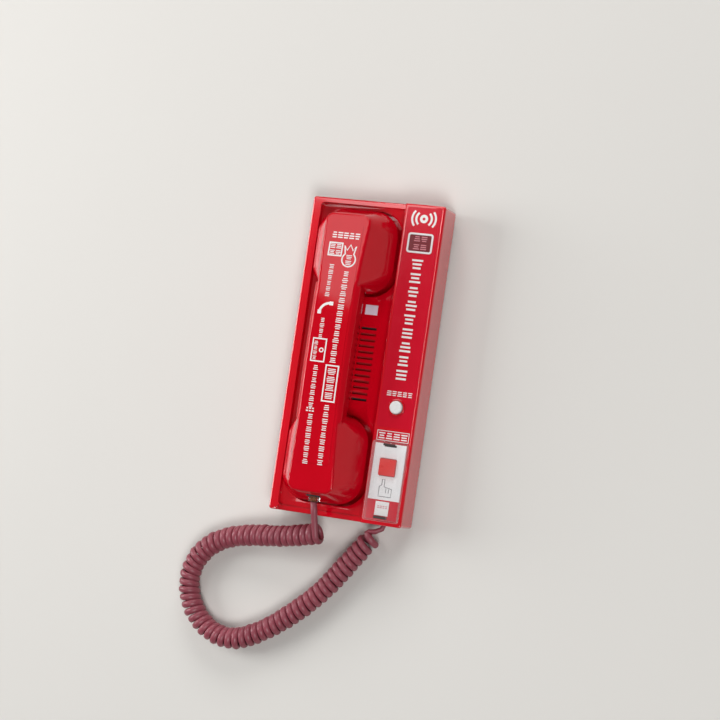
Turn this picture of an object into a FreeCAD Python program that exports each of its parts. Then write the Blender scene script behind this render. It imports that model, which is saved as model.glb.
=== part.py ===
import FreeCAD, Part
import math
import os

# Emergency fire-report wall telephone: a handset resting in a cradle on the left, a raised
# control panel on the right and a curly cord. All sizes are in millimetres.
# Frame: +X to the right, +Y towards the earpiece end, +Z out of the face.
# The origin is the middle of the flat back that rests on the wall.

# Case
CASE_WIDTH = 100.5
CASE_HEIGHT = 222.0
REAR_DEPTH = 5.0          # rear cover, the shallow tray against the wall
REAR_INSET = 2.0          # how far the rear cover stands inside the case outline
FRONT_DEPTH = 23.0        # front housing, from the rear cover to the panel face
WALL = 2.5
PANEL_WIDTH = 29.5        # raised control panel
RIM_DROP = 5.5            # the cradle's rim lies this far below the panel face
CRADLE_DEPTH = 4.5        # the cradle's floor lies this far below its rim
LEFT_RIM = 6.5
END_RIM = 3.5
LIP_DROP = 3.0            # the rim at the cord end is lower by this much
EDGE_R = 2.0              # outer upright edges
GAP = 0.3                 # clearance between pieces that fit into each other
TOUCH = 0.05              # clearance of inserts pressed or clipped into the housing

# Handset
HANDSET_LENGTH = 205.0
HANDSET_SHIFT_Y = 1.0     # the handset's middle, above the case's middle
HANDSET_MID_FROM_PANEL = 33.0
CUP_WIDTH = 60.0
CUP_BASE_WIDTH = 46.0
EAR_CUP_LENGTH = HANDSET_LENGTH * 0.283
MOUTH_CUP_LENGTH = HANDSET_LENGTH * 0.298
CUP_R = 18.0              # corners of the cups' widest outline
CUP_BASE_R = 13.0
BACK_R = 3.0
CUP_BASE_RISE = 10.0      # underside of the cups, above the wall
CUP_WIDEST_RISE = 25.0
SEAM_RISE = 30.0          # seam between the two handset shells
BACK_RISE = 51.5          # middle of the handset's arched back
BACK_DROP = 5.0           # the back's ends are lower than its middle by this
BACK_WIDTH = 27.4         # flat of the back where the handle meets the cups
BACK_END_WIDTH = 33.0     # flat of the back at its ends
END_SLOPE = 6.5           # the back is shorter than the widest outline by this, at each end
HANDLE_WIDTH = 33.6
HANDLE_BEVEL = 2.4
HANDLE_SIDE_RISE = 38.0
HANDLE_SIDE_INSET = 0.9   # the handle's sides lean in by this at their lower edge
HANDLE_UNDER_RISE = 28.0
HANDLE_UNDER_WIDTH = 25.0
HANDLE_IN_CUP = 4.0       # the handle runs this far into each cup
SHELL = 2.2
POCKET_GAP = 1.2          # between a cup's widest outline and its pocket
POCKET_FLOOR = 8.0

# Control panel
BUTTON_FROM_BOTTOM = 81.0
CALL_BUTTON_D = 9.0
FIRE_BUTTON = 11.5
FIRE_BUTTON_FROM_BOTTOM = 39.7
BUTTON_INSET = 15.1       # button centres, from the case's right side
CALL_TRAVEL = 2.0
FIRE_TRAVEL = 2.5
COVER_WIDTH = 25.2
COVER_LENGTH = 54.5
COVER_HEIGHT = 3.4
COVER_WALL = 1.0
COVER_FROM_BOTTOM = 2.6
COVER_INSET = 2.2         # cover, from the case's right side
WHITE_PLATE_LENGTH = 38.5
PLATE_THICK = 0.6
TITLE_SHARE = 0.314       # title strip, as a share of the distance from the cover to the round button
OVERLAY_FROM_BOTTOM = 67.0
OVERLAY_TOP_GAP = 2.4
OVERLAY_THICK = 0.5
LAMP_WIDTH = 18.5
LAMP_LENGTH = 14.0
LAMP_FROM_BOTTOM = 195.0
LAMP_FRAME = 1.3

# Cradle floor
GRILLE_SLOTS = 13
GRILLE_PITCH_SHARE = 0.0483  # slot pitch, as a share of the distance between the cups
GRILLE_SLOT = 1.7
GRILLE_WIDTH = 11.5
GRILLE_FROM_PANEL = 17.4
GRILLE_START_SHARE = 0.151  # lowest slot, from the mouth cup, as such a share
STATUS_WIDTH = 9.3
STATUS_LENGTH = 7.0
STATUS_SHARE = 0.116        # status window, from the ear cup, as such a share

# Wall fixing: two keyed slots on the pitch of a one-gang wall box
FIXING_PITCH = 83.5
FIXING_SLOT_W = 4.4
FIXING_SLOT_L = 9.0

# Cord
LEAD_D = 4.6
COIL_D = 15.6

# Places worked out from the sizes
RIGHT = CASE_WIDTH / 2
LEFT = -RIGHT
TOP = CASE_HEIGHT / 2
BOTTOM = -TOP
PANEL_Z = REAR_DEPTH + FRONT_DEPTH
RIM_Z = PANEL_Z - RIM_DROP
FLOOR_Z = RIM_Z - CRADLE_DEPTH
PANEL_LEFT = RIGHT - PANEL_WIDTH
MID_X = PANEL_LEFT - HANDSET_MID_FROM_PANEL
HANDSET_TOP = HANDSET_SHIFT_Y + HANDSET_LENGTH / 2
HANDSET_BOTTOM = HANDSET_SHIFT_Y - HANDSET_LENGTH / 2
EAR_LOW = HANDSET_TOP - EAR_CUP_LENGTH
MOUTH_HIGH = HANDSET_BOTTOM + MOUTH_CUP_LENGTH
BUTTON_X = RIGHT - BUTTON_INSET
CALL_Y = BOTTOM + BUTTON_FROM_BOTTOM
FIRE_Y = BOTTOM + FIRE_BUTTON_FROM_BOTTOM
COVER_X1 = RIGHT - COVER_INSET
COVER_X0 = COVER_X1 - COVER_WIDTH
COVER_Y0 = BOTTOM + COVER_FROM_BOTTOM
COVER_Y1 = COVER_Y0 + COVER_LENGTH
TITLE_LENGTH = (CALL_Y - COVER_Y1) * TITLE_SHARE
GRILLE_X = PANEL_LEFT - GRILLE_FROM_PANEL
BETWEEN_CUPS = EAR_LOW - MOUTH_HIGH
GRILLE_PITCH = BETWEEN_CUPS * GRILLE_PITCH_SHARE
GRILLE_Y0 = MOUTH_HIGH + BETWEEN_CUPS * GRILLE_START_SHARE
GRILLE_MID_Y = GRILLE_Y0 + GRILLE_PITCH * (GRILLE_SLOTS - 1) / 2
STATUS_Y = EAR_LOW - BETWEEN_CUPS * STATUS_SHARE
LAMP_Y = BOTTOM + LAMP_FROM_BOTTOM

# The back's arch, about a level axis far below it
ARCH_R = (HANDSET_LENGTH / 2 - END_SLOPE) ** 2 / (2 * BACK_DROP)
ARCH_Z = BACK_RISE - ARCH_R

# Circuit board behind the panel
BOARD_Z = REAR_DEPTH + 4.5
BOARD_THICK = 1.6
BOARD_TOP = BOARD_Z + BOARD_THICK
BOARD_X0 = PANEL_LEFT + WALL + 0.8
BOARD_X1 = RIGHT - WALL - 0.8
BOARD_Y0 = BOTTOM + 30.0
BOARD_Y1 = TOP - 17.0
DECK_UNDER = PANEL_Z - WALL

UP = FreeCAD.Vector(0, 0, 1)


def v(x, y, z):
    return FreeCAD.Vector(x, y, z)


def box(x0, x1, y0, y1, z0, z1):
    """A block between two corners."""
    return Part.makeBox(x1 - x0, y1 - y0, z1 - z0, v(x0, y0, z0))


def block(x, y, width, length, z0, z1):
    """A block centred on x, y."""
    return box(x - width / 2, x + width / 2, y - length / 2, y + length / 2, z0, z1)


def rod(x, y, diameter, z0, z1):
    """An upright cylinder."""
    return Part.makeCylinder(diameter / 2, z1 - z0, v(x, y, z0))


def ring(x, y, outer, inner, z0, z1):
    return rod(x, y, outer, z0, z1).cut(rod(x, y, inner, z0, z1))


def rounded_wire(x0, x1, y0, y1, z, r):
    """A rectangle with round corners, in a level plane."""
    edges = []
    corners = [(x1 - r, y0 + r, -90), (x1 - r, y1 - r, 0), (x0 + r, y1 - r, 90), (x0 + r, y0 + r, 180)]
    for i, (cx, cy, start) in enumerate(corners):
        nx, ny, after = corners[(i + 1) % len(corners)]
        edges.append(Part.makeCircle(r, v(cx, cy, z), UP, start, start + 90))
        leave = math.radians(start + 90)
        a = v(cx + r * math.cos(leave), cy + r * math.sin(leave), z)
        b = v(nx + r * math.cos(leave), ny + r * math.sin(leave), z)
        edges.append(Part.makeLine(a, b))
    return Part.Wire(edges)


def rounded_box(x0, x1, y0, y1, z0, z1, r):
    """A block whose upright edges are round."""
    face = Part.Face(rounded_wire(x0, x1, y0, y1, z0, r))
    return face.extrude(v(0, 0, z1 - z0))


def rounded_block(x, y, width, length, z0, z1, r):
    return rounded_box(x - width / 2, x + width / 2, y - length / 2, y + length / 2, z0, z1, r)


def joined(shapes):
    """One solid from several that touch or overlap."""
    first = shapes[0]
    return first.multiFuse(shapes[1:]).removeSplitter()


def save(name, shape):
    shape.exportStep(os.path.join("parts", name + ".step"))
    print(name, "solids", len(shape.Solids), "valid", shape.isValid(), "volume", round(shape.Volume, 1))


# --- handset outlines, shared by the shells and by the pockets that hold them ---

def cup_ranges():
    """(low y, high y, low y of the back, high y of the back) of each cup, before the arch is cut."""
    slope = END_SLOPE * (BACK_RISE - CUP_WIDEST_RISE) / (BACK_RISE - BACK_DROP - CUP_WIDEST_RISE)
    ear = (EAR_LOW, HANDSET_TOP, EAR_LOW + 1.0, HANDSET_TOP - slope)
    mouth = (HANDSET_BOTTOM, MOUTH_HIGH, HANDSET_BOTTOM + slope, MOUTH_HIGH - 1.0)
    return [ear, mouth]


def arched(rise, y):
    """Height at y of a surface that is arched with the back and reaches rise in the middle."""
    radius = rise - ARCH_Z
    return ARCH_Z + math.sqrt(radius ** 2 - (y - HANDSET_SHIFT_Y) ** 2)


def under_arch(rise):
    """Everything under the arched surface that reaches rise in the middle."""
    return Part.makeCylinder(rise - ARCH_Z, CASE_WIDTH, v(LEFT, HANDSET_SHIFT_Y, ARCH_Z), v(1, 0, 0))


def cup(y0, y1, back_y0, back_y1, inset):
    """One cup: widest low down, narrower at its underside and at the back, before the arch is cut."""
    side = CUP_WIDTH / 2 - inset
    base = CUP_BASE_WIDTH / 2 - inset
    slope = (side - BACK_END_WIDTH / 2) / (BACK_RISE - BACK_DROP - CUP_WIDEST_RISE)
    back = BACK_END_WIDTH / 2 - inset - slope * BACK_DROP
    base_inset = (CUP_WIDTH - CUP_BASE_WIDTH) / 2 + inset
    under = rounded_wire(MID_X - base, MID_X + base, y0 + base_inset, y1 - base_inset, CUP_BASE_RISE + inset,
                         CUP_BASE_R - inset)
    widest = rounded_wire(MID_X - side, MID_X + side, y0 + inset, y1 - inset, CUP_WIDEST_RISE, CUP_R - inset)
    top = rounded_wire(MID_X - back, MID_X + back, back_y0 + inset, back_y1 - inset, BACK_RISE,
                       BACK_R - inset)
    lower = Part.makeLoft([under, widest], True, True)
    upper = Part.makeLoft([widest, top], True, True)
    return joined([lower, upper]).common(under_arch(BACK_RISE - inset))


def handle(inset):
    """The arched grip between the cups: its section turned about the arch's axis."""
    flat = BACK_WIDTH / 2 - inset / 2
    side = HANDLE_WIDTH / 2 - inset
    low_side = side - HANDLE_SIDE_INSET
    under = HANDLE_UNDER_WIDTH / 2 - inset / 2
    top = BACK_RISE - inset
    outline = [
        (-flat, top), (flat, top), (side, top - HANDLE_BEVEL), (low_side, HANDLE_SIDE_RISE),
        (under, HANDLE_UNDER_RISE + inset), (-under, HANDLE_UNDER_RISE + inset),
        (-low_side, HANDLE_SIDE_RISE), (-side, top - HANDLE_BEVEL),
    ]
    wire = Part.makePolygon([v(MID_X + x, HANDSET_SHIFT_Y, z) for x, z in outline + outline[:1]])
    axis_point = v(0, HANDSET_SHIFT_Y, ARCH_Z)
    reach = math.degrees(((EAR_LOW - MOUTH_HIGH) / 2 + HANDLE_IN_CUP) / (BACK_RISE - ARCH_Z))
    wire.rotate(axis_point, v(1, 0, 0), -reach)
    return Part.Face(wire).revolve(axis_point, v(1, 0, 0), 2 * reach)


def handset_body(inset):
    cups = [cup(y0, y1, b0, b1, inset) for y0, y1, b0, b1 in cup_ranges()]
    return joined(cups + [handle(inset)])


def handset_wall():
    return handset_body(0.0).cut(handset_body(SHELL))


HANDSET_BOSS_Y = (MOUTH_HIGH + 3.0, EAR_LOW - 3.0)
BOSS_D = 7.0
SCREW_D = 2.9
SCREW_HEAD_D = 5.4
SCREW_HEAD = 1.6
SCREW_LENGTH = 9.0
SCREW_SEAT_GAP = 0.2      # the handle's underside slopes a little under the screw heads
JACK_W, JACK_H, JACK_L = 9.4, 7.4, 11.0
JACK_WALL = 1.2
HANDSET_JACK_Z = SEAM_RISE + JACK_H / 2 + 1.0
HANDSET_JACK_Y = HANDSET_BOTTOM + 3.4
PLUG_W, PLUG_H = JACK_W - 2 * JACK_WALL - 2 * TOUCH, JACK_H - 2 * JACK_WALL - 2 * TOUCH
PLUG_OUT = 3.6
PLUG_IN = 8.0
MIC_Y = HANDSET_BOTTOM + MOUTH_CUP_LENGTH * 0.5
EAR_Y = HANDSET_TOP - EAR_CUP_LENGTH * 0.5
RECEIVER_D = 28.0
RECEIVER_H = 7.0
MIC_D = 10.0
LABEL_THICK = 0.2
MIC_H = 6.0
CUP_FLOOR_Z = CUP_BASE_RISE + SHELL
SOUND_HOLE = 2.2


def sound_holes(y, count, radius):
    """A ring of sound holes and one in the middle, through a cup's underside."""
    z0, z1 = CUP_BASE_RISE - 1, CUP_FLOOR_Z + 1
    holes = [rod(MID_X, y, SOUND_HOLE, z0, z1)]
    for i in range(count):
        turn = 2 * math.pi * i / count
        holes.append(rod(MID_X + radius * math.cos(turn), y + radius * math.sin(turn), SOUND_HOLE, z0, z1))
    return holes


def handset_outer_shell():
    shell = handset_wall().common(box(LEFT, RIGHT, BOTTOM, TOP, SEAM_RISE, BACK_RISE + 1))
    for y in HANDSET_BOSS_Y:
        boss = rod(MID_X, y, BOSS_D, SEAM_RISE + 3.0, arched(BACK_RISE, y) - SHELL / 2)
        shell = shell.fuse(boss)
        shell = shell.cut(rod(MID_X, y, SCREW_D, SEAM_RISE + 2.0, SEAM_RISE + 11.5))
    mouth = block(MID_X, HANDSET_BOTTOM, JACK_W - 2 * JACK_WALL, 30.0, 0, JACK_H - 2 * JACK_WALL)
    mouth.translate(v(0, 0, HANDSET_JACK_Z - JACK_H / 2 + JACK_WALL))
    seat = block(MID_X, HANDSET_JACK_Y + JACK_L / 2, JACK_W + 2 * TOUCH, JACK_L + 2 * TOUCH,
                 HANDSET_JACK_Z - JACK_H / 2 - TOUCH, HANDSET_JACK_Z + JACK_H / 2 + TOUCH)
    return shell.cut(mouth).cut(seat).removeSplitter()


def handset_inner_shell():
    shell = handset_wall().common(box(LEFT, RIGHT, BOTTOM, TOP, 0, SEAM_RISE))
    for y in HANDSET_BOSS_Y:
        shell = shell.cut(rod(MID_X, y, SCREW_D + 0.4, HANDLE_UNDER_RISE - 5, SEAM_RISE + 1))
    return shell.cut(sound_holes(EAR_Y, 8, 7.0) + sound_holes(MIC_Y, 4, 3.2)).removeSplitter()


def handset_screws():
    """Two screws from the handle's underside into the outer shell's bosses."""
    screws = []
    for y in HANDSET_BOSS_Y:
        seat = arched(HANDLE_UNDER_RISE, y) - SCREW_SEAT_GAP
        head = rod(MID_X, y, SCREW_HEAD_D, seat - SCREW_HEAD, seat)
        shank = rod(MID_X, y, SCREW_D, seat, seat + SCREW_LENGTH)
        screws.append(joined([head, shank]))
    return Part.makeCompound(screws)


def handset_label():
    """The printed strip stuck on the handset's arched back."""
    strip = rounded_box(MID_X - BACK_WIDTH / 2 + 1.5, MID_X + BACK_WIDTH / 2 - 1.5,
                        HANDSET_BOTTOM + 26.0, HANDSET_TOP - 13.0, BACK_RISE - BACK_DROP, BACK_RISE + 1, 1.5)
    return strip.common(under_arch(BACK_RISE + LABEL_THICK)).cut(under_arch(BACK_RISE))


def receiver_capsule():
    rim = rod(MID_X, EAR_Y, RECEIVER_D, CUP_FLOOR_Z + 0.8, CUP_FLOOR_Z + 3.0)
    magnet = rod(MID_X, EAR_Y, RECEIVER_D * 0.55, CUP_FLOOR_Z + 3.0, CUP_FLOOR_Z + RECEIVER_H)
    return joined([rim, magnet])


def receiver_gasket():
    return ring(MID_X, EAR_Y, RECEIVER_D, RECEIVER_D - 6.0, CUP_FLOOR_Z, CUP_FLOOR_Z + 0.8)


def microphone_capsule():
    return rod(MID_X, MIC_Y, MIC_D, CUP_FLOOR_Z + 0.8, CUP_FLOOR_Z + MIC_H)


def microphone_grommet():
    sleeve = ring(MID_X, MIC_Y, MIC_D + 3.0, MIC_D, CUP_FLOOR_Z, CUP_FLOOR_Z + MIC_H)
    seat = ring(MID_X, MIC_Y, MIC_D + 3.0, MIC_D - 2.4, CUP_FLOOR_Z, CUP_FLOOR_Z + 0.8)
    return joined([sleeve, seat])


def balance_weight():
    """A steel bar in the ear cup that holds the handset down."""
    return rounded_block(MID_X, EAR_Y, 20.0, 34.0, SEAM_RISE - 4.0, SEAM_RISE + 5.0, 2.0)


def handset_jack():
    body = block(MID_X, HANDSET_JACK_Y + JACK_L / 2, JACK_W, JACK_L,
                 HANDSET_JACK_Z - JACK_H / 2, HANDSET_JACK_Z + JACK_H / 2)
    cavity = block(MID_X, HANDSET_JACK_Y, JACK_W - 2 * JACK_WALL, 2 * (PLUG_IN + 0.5),
                   HANDSET_JACK_Z - JACK_H / 2 + JACK_WALL, HANDSET_JACK_Z + JACK_H / 2 - JACK_WALL)
    return body.cut(cavity)


def modular_plug(x, face_y, z, out):
    """A clear modular plug pushed into a jack whose mouth looks along -Y."""
    body = block(x, face_y + (PLUG_IN - out) / 2, PLUG_W, PLUG_IN + out, z - PLUG_H / 2, z + PLUG_H / 2)
    return body.makeFillet(0.6, [e for e in body.Edges if abs(e.tangentAt(0).y) > 0.9])


# --- front housing ---

HANDSET_PLUG_END = HANDSET_JACK_Y - PLUG_OUT
POCKET_R = CUP_R + POCKET_GAP
SOCKET_X = BUTTON_X - 1.6
SOCKET_Z = REAR_DEPTH + 7.0
SOCKET_RECESS = 5.0       # the base jack's mouth, inside the case's lower wall
SOCKET_MOUTH_W, SOCKET_MOUTH_H = 12.0, 9.0
BASE_JACK_Y = BOTTOM + SOCKET_RECESS
BASE_PLUG_OUT = 2.0
FLANGE_GAP = 0.3
FLANGE = 1.5
CALL_FLANGE_D = CALL_BUTTON_D + 2.6
FIRE_FLANGE = FIRE_BUTTON + 2.4
CALL_SWITCH = 8.5
FIRE_SWITCH = 12.0
CALL_PROUD = 2.5
FIRE_PROUD = 1.6
LATCH_W, LATCH_L, LATCH_DEEP = 9.0, 1.6, 4.0
LATCH_FROM_END = 2.6
LATCH_X = BUTTON_X
PLUNGER_W = 4.0
PLUNGER_Y = MOUTH_HIGH + 12.0
RISER_D = 6.0
RISER_INSET = 7.4         # screw bosses, from the case's outer walls
RISER_XY = [(x, y) for x in (LEFT + RISER_INSET, RIGHT - RISER_INSET)
            for y in (BOTTOM + RISER_INSET + 6.0, TOP - RISER_INSET)]
TRAY_SCREW_D = 2.9


def pocket(y0, y1, grow):
    """The room for one handset cup, or with grow its wall's outer shape."""
    side = CUP_WIDTH / 2 + POCKET_GAP + grow
    return rounded_box(MID_X - side, MID_X + side, y0 - POCKET_GAP - grow, y1 + POCKET_GAP + grow,
                       POCKET_FLOOR - grow, PANEL_Z + 1, POCKET_R + grow)


def cradle_space(grow):
    """The shallow recess over the whole cradle."""
    return rounded_box(LEFT + LEFT_RIM - grow, PANEL_LEFT + grow, BOTTOM + END_RIM - grow,
                       TOP - END_RIM + grow,
                       FLOOR_Z - grow, PANEL_Z + 1, 3.0 + grow)


def cradle_spaces(grow):
    pockets = [pocket(y0, y1, grow) for y0, y1, _, _ in cup_ranges()]
    return joined(pockets + [cradle_space(grow)])


def case_block(shrink):
    """The housing's outer block, or with shrink the room inside its walls."""
    tall = rounded_box(LEFT + shrink, RIGHT - shrink, BOTTOM + shrink, TOP - shrink,
                       REAR_DEPTH, PANEL_Z - shrink, EDGE_R)
    over_rim = box(LEFT - 1, PANEL_LEFT + shrink, BOTTOM - 1, TOP + 1, RIM_Z - shrink, PANEL_Z + 1)
    lip_top = RIM_Z - LIP_DROP
    over_lip = box(LEFT + LEFT_RIM, PANEL_LEFT + shrink, BOTTOM - 1, BOTTOM + END_RIM + shrink,
                   lip_top - shrink, PANEL_Z + 1)
    return tall.cut([over_rim, over_lip])


def latch_slots():
    """Two slots that take the clear cover's tongues."""
    low = block(LATCH_X, COVER_Y0 + LATCH_FROM_END, LATCH_W, LATCH_L, PANEL_Z - WALL - 1, PANEL_Z + 1)
    high = block(LATCH_X, COVER_Y1 - LATCH_FROM_END, LATCH_W, LATCH_L, PANEL_Z - WALL - 1, PANEL_Z + 1)
    return [low, high]


def fire_button_hole(gap, z0, z1):
    return rounded_block(BUTTON_X, FIRE_Y, FIRE_BUTTON + 2 * gap, FIRE_BUTTON + 2 * gap, z0, z1, 0.6 + gap)


def panel_cuts():
    """Everything cut through or into the raised panel."""
    z0, z1 = DECK_UNDER - 1, PANEL_Z + 1
    cuts = [rod(BUTTON_X, CALL_Y, CALL_BUTTON_D + 2 * GAP, z0, z1)]
    cuts.append(fire_button_hole(GAP, z0, z1))
    cuts.append(rounded_block(BUTTON_X, LAMP_Y, LAMP_WIDTH - 2 * LAMP_FRAME,
                              LAMP_LENGTH - 2 * LAMP_FRAME, z0, z1, 1.0))
    overlay_seat = rounded_box(COVER_X0 - TOUCH, COVER_X1 + TOUCH, BOTTOM + OVERLAY_FROM_BOTTOM - TOUCH,
                               TOP - OVERLAY_TOP_GAP + TOUCH, PANEL_Z - OVERLAY_THICK, z1, 1.5)
    cuts.append(overlay_seat)
    return cuts + latch_slots()


def cradle_cuts():
    """The grille, the status window and the hook plunger's hole in the cradle floor."""
    cuts = []
    for i in range(GRILLE_SLOTS):
        y = GRILLE_Y0 + i * GRILLE_PITCH
        cuts.append(block(GRILLE_X, y, GRILLE_WIDTH, GRILLE_SLOT, FLOOR_Z - WALL - 1, FLOOR_Z + 1))
    cuts.append(block(GRILLE_X, STATUS_Y, STATUS_WIDTH, STATUS_LENGTH, FLOOR_Z - WALL - 1, FLOOR_Z + 1))
    cuts.append(block(MID_X, PLUNGER_Y, PLUNGER_W + 2 * GAP, PLUNGER_W + 2 * GAP, FLOOR_Z - WALL - 1,
                      FLOOR_Z + 1))
    return cuts


def housing_bosses():
    """Screw bosses that take the rear cover's screws."""
    tops = {True: DECK_UNDER + WALL / 2, False: FLOOR_Z - WALL / 2}
    return [rod(x, y, RISER_D, REAR_DEPTH, tops[x > PANEL_LEFT]) for x, y in RISER_XY]


def front_housing():
    room = case_block(WALL).cut(cradle_spaces(WALL))
    housing = case_block(0.0).cut(cradle_spaces(0.0)).cut(room)
    bosses = joined([housing] + housing_bosses())
    bosses = bosses.cut([rod(x, y, TRAY_SCREW_D, REAR_DEPTH - 1, REAR_DEPTH + 9.0) for x, y in RISER_XY])
    mouth = box(SOCKET_X - SOCKET_MOUTH_W / 2, SOCKET_X + SOCKET_MOUTH_W / 2, BOTTOM - 1, BOTTOM + WALL + 1,
                SOCKET_Z - SOCKET_MOUTH_H / 2, SOCKET_Z + SOCKET_MOUTH_H / 2)
    return bosses.cut(panel_cuts() + cradle_cuts() + [mouth]).removeSplitter()


# --- rear cover ---

CABLE_X = MID_X
CABLE_W, CABLE_L = 22.0, 16.0
POST_D = 5.0
POST_XY = [(x, y) for x in (BOARD_X0 + 3.5, BOARD_X1 - 3.5) for y in (FIRE_Y + FIRE_SWITCH, BOARD_Y1 - 4.0)]


def fixing_slots(z0, z1):
    """Two upright slots for the wall screws."""
    slots = []
    for y in (-FIXING_PITCH / 2, FIXING_PITCH / 2):
        slots.append(rounded_block(0.0, y, FIXING_SLOT_W, FIXING_SLOT_L, z0, z1, FIXING_SLOT_W / 2 - 0.001))
    return slots


def tray_block(inset, z0, z1):
    edge = REAR_INSET + inset
    return rounded_box(LEFT + edge, RIGHT - edge, BOTTOM + edge, TOP - edge, z0, z1, EDGE_R)


def rear_cover():
    tray = tray_block(0.0, 0.0, REAR_DEPTH).cut(tray_block(WALL, WALL, REAR_DEPTH + 1))
    posts = [rod(x, y, POST_D, WALL / 2, BOARD_Z) for x, y in POST_XY]
    pads = [rod(x, y, RISER_D + 2.0, WALL / 2, REAR_DEPTH) for x, y in RISER_XY]
    tray = joined([tray] + posts + pads)
    holes = [rod(x, y, TRAY_SCREW_D + 0.4, -1, REAR_DEPTH + 1) for x, y in RISER_XY]
    heads = [rod(x, y, SCREW_HEAD_D + 0.6, -1, SCREW_HEAD + 0.6) for x, y in RISER_XY]
    pilots = [rod(x, y, TRAY_SCREW_D, BOARD_Z - 5.0, BOARD_Z + 1) for x, y in POST_XY]
    entry = rounded_block(CABLE_X, 0.0, CABLE_W, CABLE_L, -1, WALL + 1, 3.0)
    return tray.cut(holes + heads + pilots + [entry] + fixing_slots(-1, WALL + 1)).removeSplitter()


def case_screws():
    """Four screws through the rear cover into the housing's bosses."""
    screws = []
    for x, y in RISER_XY:
        head = rod(x, y, SCREW_HEAD_D, 0.6, SCREW_HEAD + 0.6)
        shank = rod(x, y, TRAY_SCREW_D, SCREW_HEAD + 0.6, REAR_DEPTH + 7.0)
        screws.append(joined([head, shank]))
    return Part.makeCompound(screws)


# --- panel pieces ---

def panel_overlay():
    """The printed label sheet, let into the panel around the lamp and the call button."""
    sheet = rounded_box(COVER_X0, COVER_X1, BOTTOM + OVERLAY_FROM_BOTTOM, TOP - OVERLAY_TOP_GAP,
                        PANEL_Z - OVERLAY_THICK, PANEL_Z, 1.5)
    lamp = rounded_block(BUTTON_X, LAMP_Y, LAMP_WIDTH + 2 * TOUCH, LAMP_LENGTH + 2 * TOUCH, PANEL_Z - 2,
                         PANEL_Z + 1, 2.0)
    button = rod(BUTTON_X, CALL_Y, CALL_BUTTON_D + 2 * GAP + 2.4, PANEL_Z - 2, PANEL_Z + 1)
    return sheet.cut([lamp, button])


def lamp_frame():
    z0, z1 = PANEL_Z - OVERLAY_THICK, PANEL_Z + 0.3
    outer = rounded_block(BUTTON_X, LAMP_Y, LAMP_WIDTH, LAMP_LENGTH, z0, z1, 2.0)
    inner = rounded_block(BUTTON_X, LAMP_Y, LAMP_WIDTH - 2 * LAMP_FRAME, LAMP_LENGTH - 2 * LAMP_FRAME,
                          z0 - 1, z1 + 1, 1.0)
    return outer.cut(inner)


def lamp_window():
    """The dark red lens of the answer lamp, with a flange behind the panel."""
    width, length = LAMP_WIDTH - 2 * LAMP_FRAME - 2 * TOUCH, LAMP_LENGTH - 2 * LAMP_FRAME - 2 * TOUCH
    lens = rounded_block(BUTTON_X, LAMP_Y, width, length, DECK_UNDER - 1.0, PANEL_Z + 0.1, 1.0)
    flange = block(BUTTON_X, LAMP_Y, width + 3.0, length + 3.0, DECK_UNDER - 1.2, DECK_UNDER)
    return joined([lens, flange])


def led(x, y, diameter, z0, z1):
    base = rod(x, y, diameter + 0.8, z0, z0 + 1.0)
    body = rod(x, y, diameter, z0 + 1.0, z1 - diameter / 2)
    dome = Part.makeSphere(diameter / 2, v(x, y, z1 - diameter / 2))
    return joined([base, body, dome])


def lamp_leds():
    """Two lamps behind the answer window."""
    return Part.makeCompound([led(BUTTON_X + dx, LAMP_Y, 4.0, BOARD_TOP, DECK_UNDER - 4.0)
                              for dx in (-4.0, 4.0)])


def call_button_ring():
    """The raised collar around the round button."""
    return ring(BUTTON_X, CALL_Y, CALL_BUTTON_D + 2 * GAP + 2.2, CALL_BUTTON_D + 2 * GAP,
                PANEL_Z - OVERLAY_THICK, PANEL_Z + 0.5)


def flange_top():
    return DECK_UNDER - FLANGE_GAP


def button_stem_bottom():
    return flange_top() - FLANGE - 4.5


def call_button_cap():
    cap = rod(BUTTON_X, CALL_Y, CALL_BUTTON_D, flange_top() - FLANGE, PANEL_Z + CALL_PROUD)
    face_z = PANEL_Z + CALL_PROUD
    rim = [e for e in cap.Edges if abs(e.BoundBox.ZMax - face_z) < 0.01 and e.Length > CALL_BUTTON_D]
    cap = cap.makeFillet(1.0, rim[:1])
    flange = rod(BUTTON_X, CALL_Y, CALL_FLANGE_D, flange_top() - FLANGE, flange_top())
    stem = rod(BUTTON_X, CALL_Y, 4.0, button_stem_bottom(), flange_top() - FLANGE)
    return joined([cap, flange, stem])


def fire_button_cap():
    z1 = PANEL_Z + PLATE_THICK + FIRE_PROUD
    cap = fire_button_hole(0.0, flange_top() - FLANGE, z1)
    flange = block(BUTTON_X, FIRE_Y, FIRE_FLANGE, FIRE_FLANGE, flange_top() - FLANGE, flange_top())
    stem = block(BUTTON_X, FIRE_Y, 5.0, 5.0, button_stem_bottom(), flange_top() - FLANGE)
    return joined([cap, flange, stem])


SPRING_WIRE = 0.6


def switch_top(travel):
    return button_stem_bottom() - travel - 0.3


def coil_spring(x, y, diameter, z0, z1, turns):
    """A compression spring: a helix of round wire, its ends in the stated planes."""
    r = diameter / 2 - SPRING_WIRE / 2
    height = z1 - z0 - SPRING_WIRE
    path = Part.makeHelix(height / turns, height, r)
    start = Part.Wire([Part.makeCircle(SPRING_WIRE / 2, v(r, 0, 0), v(0, 1, 0))])
    wire = Part.Wire(path.Edges).makePipeShell([start], True, True)
    wire.translate(v(x, y, z0 + SPRING_WIRE / 2))
    return wire


def call_button_spring():
    return coil_spring(BUTTON_X, CALL_Y, 7.6, switch_top(CALL_TRAVEL) + 0.05,
                       flange_top() - FLANGE - 0.05, 4)


def fire_button_spring():
    return coil_spring(BUTTON_X, FIRE_Y, 10.4, switch_top(FIRE_TRAVEL) + 0.05,
                       flange_top() - FLANGE - 0.05, 4)


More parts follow.
